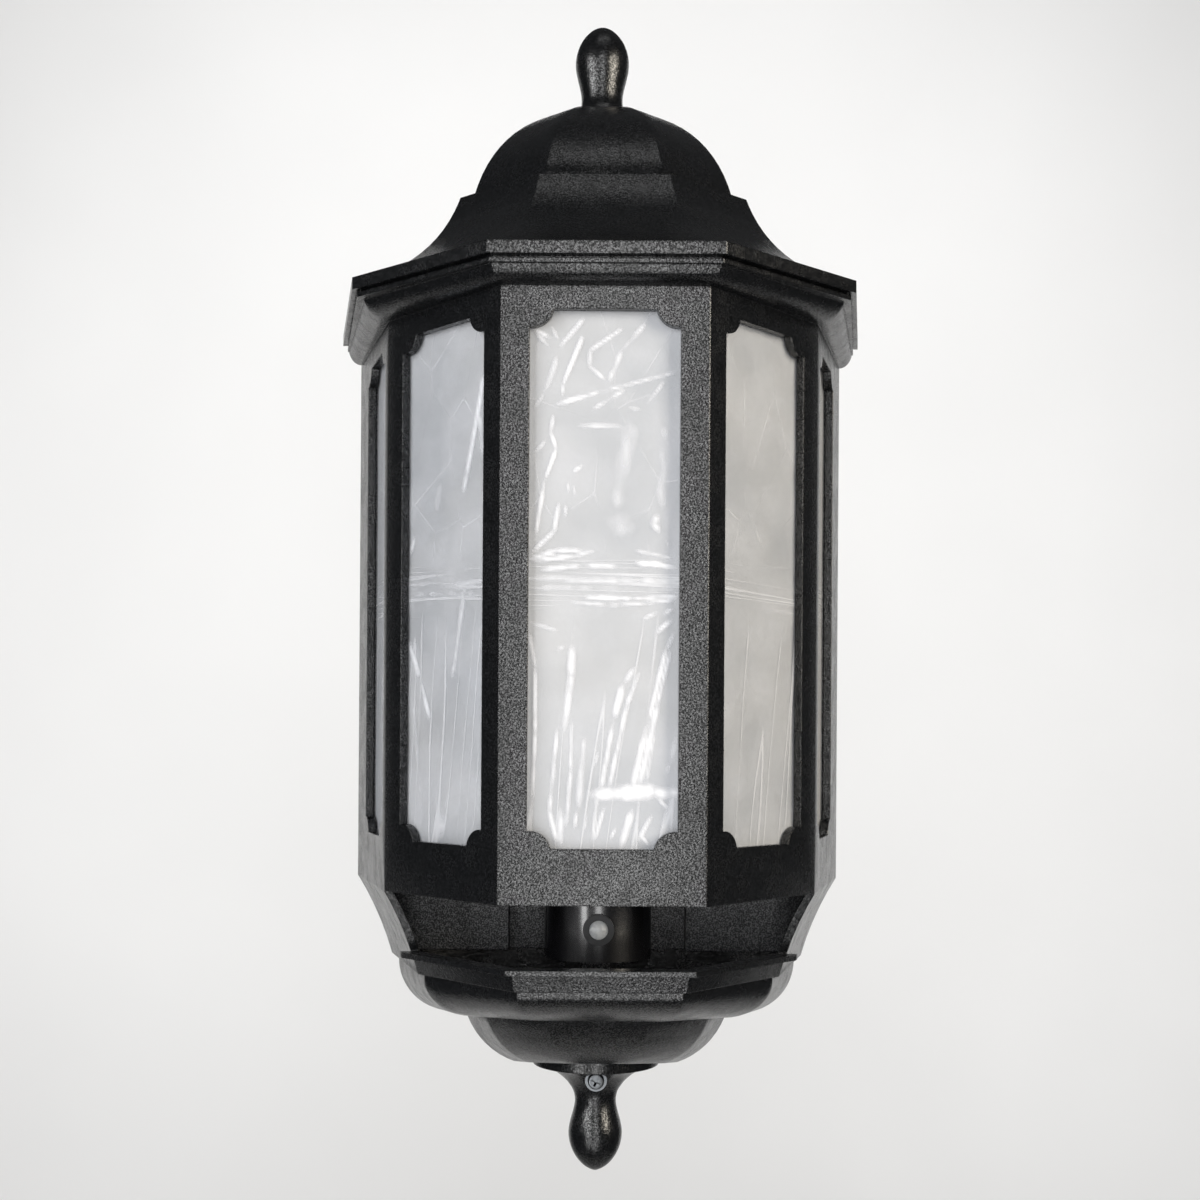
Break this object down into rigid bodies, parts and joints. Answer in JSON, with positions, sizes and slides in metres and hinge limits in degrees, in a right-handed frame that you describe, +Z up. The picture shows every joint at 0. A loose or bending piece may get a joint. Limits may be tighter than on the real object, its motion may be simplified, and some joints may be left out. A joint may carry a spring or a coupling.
{
  "type": "half lantern wall light",
  "caption": "Black half lantern wall light: domed roof, windowed panels over an opal diffuser, open gap with a daylight sensor, bowl and half acorn finials.",
  "frame": {"origin": "centre of the wall fixing pattern, on the wall plane", "axes": "+Z up along the lantern, +Y into the wall, +X to the right as seen from the front"},
  "size_m": [0.172, 0.1053, 0.3819],
  "materials": {
    "body_black": "moulded polycarbonate with a fine spark texture, black",
    "plate_black": "moulded polycarbonate with a fine spark texture, black",
    "opal": "opal polycarbonate, smooth",
    "clear_film": "clear polythene film, wrinkled",
    "foam_grey": "closed cell foam, matte",
    "grommet_black": "moulded rubber, matte",
    "zinc_steel": "bright zinc plated steel",
    "holder_white": "moulded heat proof plastic, white",
    "brass": "bare brass",
    "lamp_white": "frosted bulb on a plated screw cap",
    "terminal_white": "moulded nylon, natural",
    "sensor_black": "polished moulded plastic, black",
    "lens_clear": "clear moulded lens",
    "ring_clear": "smoky clear plastic ring",
    "board_green": "coated circuit board",
    "relay_blue": "moulded relay case",
    "lead_brown": "insulated lead, brown",
    "lead_blue": "insulated lead, blue",
    "lead_red": "insulated lead, red"
  },
  "bodies": {
    "root": {"lantern_body": "body_black", "diffuser": "opal", "transit_film": "clear_film", "back_plate": "plate_black", "diffuser_gasket": "foam_grey", "cable_grommet": "grommet_black", "lead_grommet": "grommet_black", "lampholder_bracket": "zinc_steel", "bracket_screws": "zinc_steel", "lampholder_body": "holder_white", "lampholder_nut": "zinc_steel", "lampholder_ring": "holder_white", "lampholder_shell": "brass", "lampholder_contact": "brass", "led_lamp": "lamp_white", "terminal_block": "terminal_white", "terminal_tunnels": "brass", "clamp_screws": "zinc_steel", "block_screws": "zinc_steel", "sensor_housing": "sensor_black", "sensor_cap": "sensor_black", "sensor_nut": "sensor_black", "eye_ring": "ring_clear", "eye_lens": "lens_clear", "light_cell": "lamp_white", "sensor_board": "board_green", "sensor_relay": "relay_blue", "live_lead": "lead_brown", "switched_lead": "lead_red", "neutral_lead": "lead_blue", "retaining_screw": "zinc_steel", "screw_washer": "zinc_steel", "threaded_insert": "brass"}
  },
  "joints": []
}
